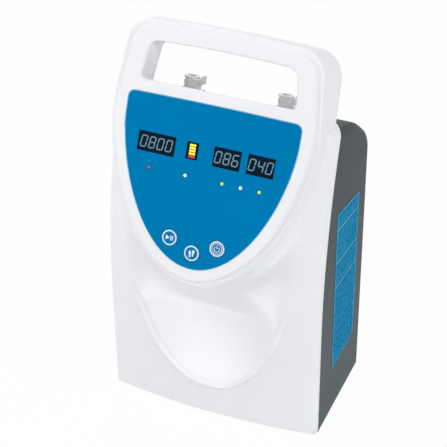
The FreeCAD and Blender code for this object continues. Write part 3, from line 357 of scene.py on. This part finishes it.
def gripRing(grow, depth):
    # the floor falls away toward the back
    fall = grip["draft"] * depth
    low, high = grip["low"] - grow - fall, grip["high"] + grow
    taper = (grip["halfLow"] - grip["halfHigh"]) / (grip["high"] - grip["drop"] - grip["low"])
    halfLow, halfHigh = grip["halfLow"] + grow + fall * taper, grip["halfHigh"] + grow
    lowRadius, highRadius = grip["lowCorner"] + grow, grip["highCorner"] + grow
    crown = 0.55 * grip["halfHigh"] ** 2 / grip["drop"]
    corners = [(Vector((-halfLow, low)), lowRadius), (Vector((halfLow, low)), lowRadius),
               (Vector((halfHigh, high - grip["drop"])), highRadius), (Vector((0, high)), crown),
               (Vector((-halfHigh, high - grip["drop"])), highRadius)]
    ring = []
    for i, (here, radius) in enumerate(corners):
        before, after = corners[i - 1][0], corners[(i + 1) % len(corners)][0]
        ring += cornerArc(before, here, after, radius, grip["cornerSteps"])
    return ring


def addLoop(build, ring, out):
    return [build.verts.new(onPanel(p.x, p.y, out)) for p in ring]


def gripLoop(build, grow, depth):
    return addLoop(build, gripRing(grow, depth), -depth)


def quarterTurn(steps, first=0):
    # what the sine and the cosine lack of 1, step by step
    turns = [math.pi / 2 * i / steps for i in range(first, steps + 1)]
    return [(1 - math.sin(a), 1 - math.cos(a)) for a in turns]


def bridge(build, first, second, smooth=True, flip=False):
    # a ring of quads between two loops
    count = len(first)
    for i in range(count):
        j = (i + 1) % count
        quad = [first[i], first[j], second[j], second[i]]
        face = build.faces.new(quad[::-1] if flip else quad)
        face.smooth = smooth


def chain(build, loops, flip=False):
    for first, second in zip(loops, loops[1:]):
        bridge(build, first, second, True, flip)


def fillBetween(build, loops):
    # one flat face on the panel's plane, with the inner loops as holes
    edges = []
    for loop in loops:
        for i in range(len(loop)):
            pair = (loop[i - 1], loop[i])
            edges.append(build.edges.get(pair) or build.edges.new(pair))
    made = bmesh.ops.triangle_fill(build, use_beauty=True, use_dissolve=False, edges=edges,
                                   normal=Vector((0, -math.cos(lean), math.sin(lean))))
    for item in made["geom"]:
        if isinstance(item, bmesh.types.BMFace):
            item.smooth = False


def lerpRing(a, b, t):
    return [p.lerp(q, t) for p, q in zip(a, b)]


def makePlateau():
    build = bmesh.new()
    # pocket wall round the overlay
    pocketLow = addLoop(build, overlayRing(pocket["clear"]), -pocket["depth"])
    pocketMid = addLoop(build, overlayRing(pocket["clear"]), -pocket["bevelDepth"])
    pocketTop = addLoop(build, overlayRing(pocket["bevel"]), 0)
    chain(build, [pocketLow, pocketMid, pocketTop], flip=True)
    # outer face edge, step and flare
    edge, fillet, soft, rounding = rim["edge"], rim["fillet"], rim["soft"], rim["round"]
    depth, stepDepth = rim["depth"], rim["stepDepth"]
    loops = []
    for rise, run in quarterTurn(8):
        loops.append(addLoop(build, rimRing(faceTop, edge * rise), -edge * run))
    for rise, run in quarterTurn(5, 1):
        loops.append(addLoop(build, rimRing(faceTop, -fillet * run), -stepDepth + fillet * rise))
    for rise, run in quarterTurn(7):
        loops.append(addLoop(build, rimRing(stepTop, soft * rise), -stepDepth - soft * run))
    wallTop, wallLow = rimRing(stepTop, 0), rimRing(backTop, 0)
    outTop, outLow = -stepDepth - soft, -depth + rounding
    for t in (0.2, 0.4, 0.6, 0.8, 1.0):
        loops.append(addLoop(build, lerpRing(wallTop, wallLow, t), outTop + t * (outLow - outTop)))
    for rise, run in quarterTurn(5, 1):
        loops.append(addLoop(build, rimRing(backTop, rounding * run), -depth + rounding * rise))
    loops.append(addLoop(build, rimRing(backTop, rim["lip"]), -depth))
    loops.append(addLoop(build, rimRing(backTop, rim["hem"]), -depth + rim["hemHeight"]))
    chain(build, loops)
    # the grip's wall
    edge, rounding = grip["edge"], grip["round"]
    wall = []
    for rise, run in quarterTurn(7):
        wall.append(gripLoop(build, edge * rise, edge * run))
    wall.append(gripLoop(build, 0, depth / 2))
    for rise, run in quarterTurn(5):
        wall.append(gripLoop(build, rounding * run, depth - rounding * rise))
    wall.append(gripLoop(build, grip["wall"], depth))
    wall.append(gripLoop(build, grip["wall"], depth - rim["hemHeight"]))
    chain(build, wall, flip=True)
    fillBetween(build, [pocketTop, loops[0], wall[0]])
    bmesh.ops.recalc_face_normals(build, faces=build.faces)
    obj = pieceFrom("shellPlateau", build, "case", [shellWhite])
    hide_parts("front_shell")


makePlateau()
print("plateau and handle made")


front = {"half": 95.0, "flange": 6.0, "bow": 7.0, "bowRise": 0.17, "leanStart": 105.0, "leanRadius": 560.0,
         "corner": 3.2, "bottomEdge": 2.6, "columns": 230, "rows": 330, "topZ": 296.8, "topRadius": 14.0,
         "behindFace": 10.6}
dish = {"half": 78.0, "tip": 38.0, "shoulder": 200.0, "across": 2.2, "power": 1.65,
        "depth": 24.0, "full": 0.614, "curve": 1.1, "most": 1.25, "soft": 0.012, "softHigh": 0.30,
        "lip": 1.8, "lipWidth": 1.6, "step": 2.6, "stepWidth": 2.4, "fadeLow": 108.0, "fadeHigh": 150.0}
# where the front meets the plateau: a margin, the run-out of the dish and a small fillet
meeting = {"margin": 3.0, "scale": 95.0, "reach": 26.0, "rise": 5.0, "riseReach": 11.0, "blend": 30.0}


def partingY(z):
    if z <= front["leanStart"]:
        return front["flange"]
    rise = z - front["leanStart"]
    return front["flange"] + front["leanRadius"] - math.sqrt(front["leanRadius"] ** 2 - rise ** 2)


def shieldValue(x, s, half, tip):
    # under 1 inside the shield outline, in the panel's own frame
    drop = max(0.0, shield["shoulder"] - s) / (shield["shoulder"] - tip)
    return (x / half) ** 2 + drop ** shield["power"]


def dishDepth(x, z):
    # depth of the scoop, and how far its edge line stands out
    drop = max(0.0, dish["shoulder"] - z) / (dish["shoulder"] - dish["tip"])
    q = abs(x / dish["half"]) ** dish["across"] + drop ** dish["power"]
    fade = smoothStep(dish["fadeLow"], dish["fadeHigh"], z)
    inside = max(0.0, 1 - q)
    soft = dish["soft"] + dish["softHigh"] * fade
    inside = inside * inside / (inside + soft)
    depth = dish["depth"] * min(dish["most"], (inside / dish["full"]) ** dish["curve"])
    steep = math.hypot(dish["across"] * abs(x / dish["half"]) ** (dish["across"] - 1) / dish["half"],
                       dish["power"] * drop ** (dish["power"] - 1) / (dish["shoulder"] - dish["tip"]))
    away = (q - 1.0) / max(steep, 0.004)
    lip = dish["lip"] * math.exp(-(away / dish["lipWidth"]) ** 2)
    step = dish["step"] * smoothStep(0.0, dish["stepWidth"], -away)
    return depth + step * (1 - fade), lip * (1 - fade)


def plateauShare(x, y, z):
    # how near a point of the front is to the plateau's wall: 1 on it or behind it, 0 well clear
    dy, dz = y - panel["tipY"], z - panel["tipZ"]
    s = dy * math.sin(lean) + dz * math.cos(lean)
    grow = stepTop["grow"] + meeting["margin"]
    return math.sqrt(shieldValue(x, s, shield["half"] + grow, shield["tip"] - grow))


def frontY(x, z):
    bow = front["bow"] + front["bowRise"] * z
    base = partingY(z) - front["flange"] - bow * (1 - (x / front["half"]) ** 2)
    depth, lip = dishDepth(x, z)
    away = (plateauShare(x, base, z) - 1.0) * meeting["scale"]
    t = min(1.0, max(0.0, away / meeting["reach"]))
    keep = math.sqrt(max(0.0, 1 - (1 - t) ** 2))
    rise = meeting["rise"] * max(0.0, 1 - max(0.0, away) / meeting["riseReach"]) ** 2
    y = base + depth * keep - lip - rise * smoothStep(-meeting["blend"], 0, away)
    # behind the panel the front stays this far back
    behind = front["behindFace"]
    s = (z - panel["tipZ"] + behind * math.sin(lean)) / math.cos(lean)
    return max(y, panel["tipY"] + s * math.sin(lean) + behind * math.cos(lean))


def makeFront():
    build = bmesh.new()
    r, bottom, count = front["corner"], front["bottomEdge"], front["rows"]
    # it ends under the floor of the grip
    ledgeY = panel["tipY"] + grip["low"] * math.sin(lean)
    ledgeZ = panel["tipZ"] + grip["low"] * math.cos(lean)
    ledgeFall = math.tan(lean + math.atan(grip["draft"]))
    levels = [(bottom * run, bottom * rise) for rise, run in quarterTurn(6)]
    for i in range(1, count + 1):
        levels.append((bottom + (front["topZ"] - bottom) * i / count, 0.0))
    rows = []
    for z, inset in levels:
        half = front["half"] - inset
        over = z - (front["topZ"] - front["topRadius"])
        if over > 0:
            half -= front["topRadius"] - math.sqrt(max(0.0, front["topRadius"] ** 2 - over ** 2))
        slope = math.atan(2 * (front["bow"] + front["bowRise"] * z) / front["half"])
        edgeX = half - r + r * math.sin(slope)
        centreY = frontY(edgeX, z) + inset + r * math.cos(slope)
        points = []
        back = partingY(z)
        for k in range(3):
            points.append((half, back + (centreY - back) * k / 3))
        for k in range(8):
            a = math.pi / 2 + (slope - math.pi / 2) * k / 8
            points.append((half - r + r * math.sin(a), centreY - r * math.cos(a)))
        side = [(-x, y) for x, y in points]
        middle = []
        for k in range(front["columns"] + 1):
            x = -edgeX + 2 * edgeX * k / front["columns"]
            middle.append((x, frontY(x, z) + inset))
        line = side + middle + points[::-1]
        row = []
        for x, y in line:
            top = ledgeZ - (y - ledgeY) * ledgeFall
            row.append(build.verts.new(inRow(x, min(y, back), min(z, top))))
        rows.append(row)
    for lower, upper in zip(rows, rows[1:]):
        for i in range(len(lower) - 1):
            face = build.faces.new([lower[i], lower[i + 1], upper[i + 1], upper[i]])
            face.smooth = True
    for ends in (rows[0][::-1], rows[-1]):
        build.faces.new(ends).smooth = False
    bmesh.ops.remove_doubles(build, verts=build.verts, dist=0.00001)
    pieceFrom("shellFront", build, "case", [shellWhite])


makeFront()
print("front shell made")


# display: slanted seven-stroke numbers behind the dark windows
numbers = {"width": 4.5, "height": 8.9, "pitch": 7.2, "slant": 0.15, "stroke": 0.95, "gap": 0.08,
           "out": 0.13, "bandLow": 88.3, "bandHigh": 104.0}
strokes = {"0": "abcdef", "4": "bcfg", "6": "acdefg", "8": "abcdefg"}
strokeEnds = {"a": ((0, 1), (1, 1)), "b": ((1, 1), (1, 0.5)), "c": ((1, 0.5), (1, 0)),
              "d": ((0, 0), (1, 0)), "e": ((0, 0.5), (0, 0)), "f": ((0, 1), (0, 0.5)),
              "g": ((0, 0.5), (1, 0.5))}


def strokeShape(start, end, width, gap):
    along = (end - start).normalized()
    across = Vector((-along.y, along.x)) * (width / 2)
    a = start + along * gap
    b = end - along * gap
    tip = along * (width / 2)
    return [a, a + tip + across, b - tip + across, b, b - tip - across, a + tip - across]


def addFlat(build, points, out, index=0):
    face = build.faces.new([build.verts.new(onPanel(p.x, p.y, out)) for p in points])
    face.material_index = index
    face.smooth = False


def makeNumbers(name, text, x0, x1):
    build = bmesh.new()
    count = len(text)
    low = (numbers["bandLow"] + numbers["bandHigh"] - numbers["height"]) / 2
    first = (x0 + x1) / 2 - (count - 1) / 2 * numbers["pitch"]
    for i, sign in enumerate(text):
        for key in strokes[sign]:
            ends = []
            for u, v in strokeEnds[key]:
                y = v * numbers["height"]
                x = first + i * numbers["pitch"] + (u - 0.5) * numbers["width"]
                ends.append(Vector((x + (y - numbers["height"] / 2) * numbers["slant"], low + y)))
            addFlat(build, strokeShape(ends[0], ends[1], numbers["stroke"], numbers["gap"]), numbers["out"])
    pieceFrom(name, build, "case", [segmentLine])


makeNumbers("timerNumbers", "0800", -59.4, -27.5)
makeNumbers("modeNumbers", "086", 5.4, 28.1)
makeNumbers("pressureNumbers", "040", 34.0, 56.4)

bars = {"count": 5, "left": -15.2, "right": -10.0, "low": 91.0, "pitch": 2.3, "height": 1.75}


def boxPoints(x0, x1, s0, s1):
    return [Vector((x0, s0)), Vector((x1, s0)), Vector((x1, s1)), Vector((x0, s1))]


def makeBars():
    build = bmesh.new()
    for i in range(bars["count"]):
        low = bars["low"] + i * bars["pitch"]
        points = boxPoints(bars["left"], bars["right"], low, low + bars["height"])
        addFlat(build, points, numbers["out"], 1 if i == 0 else 0)
    pieceFrom("chargeBars", build, "case", [barYellow, barRed])


makeBars()


# rings and signs on the keys
keys = {"out": 0.62, "ring": [(5.15, 0.615), (5.9, 0.615), (6.2, 0.52), (6.36, 0.34)],
        "start": (-20.5, 24.3), "foot": (0.0, 16.0), "power": (20.5, 24.3)}


def addRing(build, x, s, profile, steps=72, first=0.0, last=1.0):
    loops = []
    whole = last - first >= 1.0
    for radius, out in profile:
        loop = []
        for i in range(steps + (0 if whole else 1)):
            a = 2 * math.pi * (first + (last - first) * i / steps)
            loop.append(build.verts.new(onPanel(x + radius * math.sin(a), s + radius * math.cos(a), out)))
        loops.append(loop)
    for inner, outer in zip(loops, loops[1:]):
        for i in range(steps):
            j = (i + 1) % len(inner)
            face = build.faces.new([inner[i], inner[j], outer[j], outer[i]])
            face.smooth = True


def addOval(build, x, s, rx, ry, turn, out, steps=28, egg=0.0):
    points = []
    for i in range(steps):
        a = 2 * math.pi * i / steps
        px = rx * math.cos(a) * (1 + egg * math.sin(a))
        py = ry * math.sin(a)
        points.append(Vector((x + px * math.cos(turn) - py * math.sin(turn),
                              s + px * math.sin(turn) + py * math.cos(turn))))
    addFlat(build, points, out)


def makeKeySigns():
    flat = keys["out"]
    for word in ("start", "foot", "power"):
        x, s = keys[word]
        build = bmesh.new()
        addRing(build, x, s, keys["ring"])
        if word == "start":
            corners = [(x - 3.0, s - 1.9), (x + 0.2, s), (x - 3.0, s + 1.9)]
            addFlat(build, [Vector(p) for p in corners], flat)
            for dx in (1.0, 2.4):
                addFlat(build, boxPoints(x + dx, x + dx + 0.75, s - 1.9, s + 1.9), flat)
        if word == "foot":
            for side, up in ((-1, -0.5), (1, 0.5)):
                addOval(build, x + side * 1.35, s + up + 0.4, 0.95, 2.1, -side * 0.12, flat, egg=0.25)
                addOval(build, x + side * 1.2, s + up - 2.1, 0.7, 0.8, 0, flat)
        if word == "power":
            addRing(build, x, s, [(3.9, flat), (4.4, flat)])
            addRing(build, x, s - 0.2, [(1.9, flat), (2.45, flat)], 48, 0.12, 0.88)
            addFlat(build, boxPoints(x - 0.27, x + 0.27, s, s + 2.7), flat)
        pieceFrom(word + "Sign", build, word + "_button", [printWhite])


makeKeySigns()


def makeOverlayEdge():
    build = bmesh.new()
    outer = addLoop(build, overlayRing(-0.05), 0.02)
    inner = addLoop(build, overlayRing(-0.5), 0.02)
    bridge(build, outer, inner, False)
    pieceFrom("overlayEdge", build, "case", [edgeBlue])


makeOverlayEdge()
print("panel details made")


# side label: a pale border, three rules and columns of short marks
# lengths up the label are in 1/160 of its height, the share, and the rules' places in parts of it
label = {"y0": 35.0, "y1": 90.0, "z0": 48.0, "frontTop": 210.0, "backTop": 200.0,
         "out": 95.32, "lift": 0.01,
         "share": 1 / 160.0, "border": 0.9, "line": 0.6, "rule": 0.9, "rules": (0.53, 0.685, 0.895)}
marks = {"columns": 12, "first": 3.0, "pitch": 4.3, "wide": 1.4, "wider": 0.8, "short": 4.0, "longer": 10.0,
         "gap": 1.0, "gapMore": 2.0, "clear": 2.5, "after": 3.0, "end": 1.6, "least": 1.5, "stop": 5.0}


def labelTop(y):
    along = (y - label["y0"]) / (label["y1"] - label["y0"])
    return label["frontTop"] + (label["backTop"] - label["frontTop"]) * along


def addStrip(build, y0, y1, low, high, index):
    # low and high are shares of the label's height, so that strips slope with its top edge
    def at(y, share):
        height = labelTop(y) - label["z0"]
        return build.verts.new(inRow(label["out"] + label["lift"] * index, y, label["z0"] + share * height))

    face = build.faces.new([at(y0, low), at(y1, low), at(y1, high), at(y0, high)])
    face.material_index = index
    face.smooth = False


def addMarks(build, low, high):
    # as columns of small print would read from far off: no mark crosses a rule
    share = label["share"]
    stops = label["rules"] + (high,)
    turn = 0
    for column in range(marks["columns"]):
        y = label["y0"] + marks["first"] + column * marks["pitch"]
        at = low + marks["after"] * share
        while at < high - marks["stop"] * share:
            turn += 1
            run = (marks["short"] + marks["longer"] * ((turn * 0.618) % 1.0)) * share
            stop = min(value for value in stops if value > at)
            last = stop - marks["clear"] * share
            if at + run > last:
                if last > at + marks["least"] * share:
                    addStrip(build, y, y + marks["end"], at, last, 0)
                at = stop + marks["after"] * share
                continue
            addStrip(build, y, y + marks["wide"] + marks["wider"] * ((turn * 0.73) % 1.0), at, at + run, 0)
            at += run + (marks["gap"] + marks["gapMore"] * ((turn * 0.381) % 1.0)) * share


def makeLabelPrint():
    build = bmesh.new()
    share, line = label["share"], label["line"]
    y0, y1 = label["y0"] + label["border"], label["y1"] - label["border"]
    low, high = label["border"] * share, 1 - label["border"] * share
    addStrip(build, y0, y1, low, low + line * share, 1)
    addStrip(build, y0, y1, high - line * share, high, 1)
    addStrip(build, y0, y0 + line, low, high, 1)
    addStrip(build, y1 - line, y1, low, high, 1)
    for at in label["rules"]:
        addStrip(build, y0, y1, at, at + label["rule"] * share, 1)
    addMarks(build, low, high)
    pieceFrom("labelLines", build, "case", [labelMark, labelPale])


makeLabelPrint()
print("label made")


# floor, backdrop and light
studio = {"world": 0.33, "floorSize": 6.0, "floorGlow": 0.96, "fill": 8.2, "side": 12.0, "back": 4.5,
          "front": 5.6, "left": 4.0, "rear": 5.0, "low": 0.32, "edge": 0.15}


def makeStage():
    material = bpy.data.materials.new("paleFloor")
    material.use_nodes = True
    tree = material.node_tree
    shader = tree.nodes["Principled BSDF"]
    shader.inputs["Base Color"].default_value = (0.9, 0.9, 0.9, 1)
    shader.inputs["Roughness"].default_value = 0.9
    glow = tree.nodes.new("ShaderNodeEmission")
    glow.inputs["Strength"].default_value = 1.0
    path = tree.nodes.new("ShaderNodeLightPath")
    both = tree.nodes.new("ShaderNodeMath")
    both.operation = "MAXIMUM"
    tree.links.new(path.outputs["Is Camera Ray"], both.inputs[0])
    tree.links.new(path.outputs["Is Glossy Ray"], both.inputs[1])
    amount = tree.nodes.new("ShaderNodeMath")
    amount.operation = "MULTIPLY"
    amount.inputs[1].default_value = studio["floorGlow"]
    tree.links.new(both.outputs[0], amount.inputs[0])
    mix = tree.nodes.new("ShaderNodeMixShader")
    tree.links.new(amount.outputs[0], mix.inputs[0])
    tree.links.new(shader.outputs[0], mix.inputs[1])
    tree.links.new(glow.outputs[0], mix.inputs[2])
    tree.links.new(mix.outputs[0], tree.nodes["Material Output"].inputs["Surface"])
    mesh = bpy.data.meshes.new("floor")
    size = studio["floorSize"]
    corners = [(-size, -size, 0), (size, -size, 0), (size, size, 0), (-size, size, 0)]
    mesh.from_pydata(corners, [], [(0, 1, 2, 3)])
    floor = bpy.data.objects.new("floor", mesh)
    bpy.context.scene.collection.objects.link(floor)
    mesh.materials.append(material)


def makeWorld():
    world = bpy.data.worlds.new("studioWorld")
    bpy.context.scene.world = world
    world.use_nodes = True
    tree = world.node_tree
    background = tree.nodes["Background"]
    background.inputs["Color"].default_value = (1, 1, 1, 1)
    path = tree.nodes.new("ShaderNodeLightPath")
    both = tree.nodes.new("ShaderNodeMath")
    both.operation = "MAXIMUM"
    tree.links.new(path.outputs["Is Camera Ray"], both.inputs[0])
    tree.links.new(path.outputs["Is Transmission Ray"], both.inputs[1])
    seen = tree.nodes.new("ShaderNodeMath")
    seen.operation = "MAXIMUM"
    tree.links.new(both.outputs[0], seen.inputs[0])
    tree.links.new(path.outputs["Is Glossy Ray"], seen.inputs[1])
    strength = tree.nodes.new("ShaderNodeMapRange")
    strength.inputs["To Min"].default_value = studio["world"]
    strength.inputs["To Max"].default_value = 1.0
    tree.links.new(seen.outputs[0], strength.inputs["Value"])
    tree.links.new(strength.outputs["Result"], background.inputs["Strength"])


def addLamp(name, place, target, size, power):
    data = bpy.data.lights.new(name, "AREA")
    data.shape = "RECTANGLE"
    data.size, data.size_y = size
    data.energy = power
    lamp = bpy.data.objects.new(name, data)
    lamp.location = place
    lamp.rotation_euler = (Vector(target) - Vector(place)).to_track_quat("-Z", "Y").to_euler()
    bpy.context.scene.collection.objects.link(lamp)
    return lamp


makeStage()
makeWorld()
addLamp("frontLamp", (0.1, -1.0, 1.7), (0, 0, 0.15), (1.0, 0.5), studio["front"])
addLamp("leftLamp", (-1.1, -0.7, 1.5), (0, 0, 0.15), (0.7, 0.7), studio["left"])
addLamp("backLamp", (0.0, 0.5, 1.7), (0, 0, 0.2), (1.2, 0.6), studio["back"])
# strips on the floor show only as reflections, along the scoop's middle and the right edge
floorStrips = [("lowLamp", (-0.09, -0.545, 0.004), (0.03, 0.9), studio["low"], -7),
               ("edgeLamp", (0.31, -0.155, 0.004), (0.07, 0.46), studio["edge"], 60)]
for name, place, size, power, turn in floorStrips:
    strip = addLamp(name, place, (0, 0, 1), size, power)
    strip.rotation_euler = (math.pi, 0, math.radians(turn))
    strip.visible_diffuse = False
    strip.visible_camera = False
addLamp("fillLamp", (-1.3, -1.1, 0.75), (0, 0, 0.12), (0.2, 1.3), studio["fill"])
addLamp("sideLamp", (1.6, -0.7, 0.9), (0, 0, 0.2), (0.5, 1.1), studio["side"])
addLamp("rearLamp", (-0.6, 1.6, 1.1), (0, 0, 0.2), (0.8, 0.8), studio["rear"])


# camera: the fitted view
eye = {"x": 424.7, "y": -966.8, "z": 949.8, "pitch": 35.4, "yaw": 23.2, "roll": -0.5, "focal": 1600.0,
       "frame": 447.0, "sensor": 36.0}


def makeCamera():
    pitch, yaw, roll = (math.radians(eye[k]) for k in ("pitch", "yaw", "roll"))
    forward = Vector((-math.sin(yaw) * math.cos(pitch), math.cos(yaw) * math.cos(pitch), -math.sin(pitch)))
    right = Vector((math.cos(yaw), math.sin(yaw), 0))
    down = forward.cross(right)
    turnedRight = right * math.cos(roll) - down * math.sin(roll)
    turnedDown = right * math.sin(roll) + down * math.cos(roll)
    data = bpy.data.cameras.new("camera")
    data.sensor_width = eye["sensor"]
    data.lens = eye["focal"] / eye["frame"] * eye["sensor"]
    data.clip_start = 0.05
    data.clip_end = 50.0
    camera = bpy.data.objects.new("camera", data)
    up, back = -turnedDown, -forward
    place = inRow(eye["x"], eye["y"], eye["z"])
    rows = [[turnedRight[i], up[i], back[i], place[i]] for i in range(3)]
    camera.matrix_world = Matrix(rows + [[0, 0, 0, 1]])
    bpy.context.scene.collection.objects.link(camera)
    bpy.context.scene.camera = camera


makeCamera()
bpy.context.scene.view_settings.view_transform = "Standard"
print("stage, light and camera set")
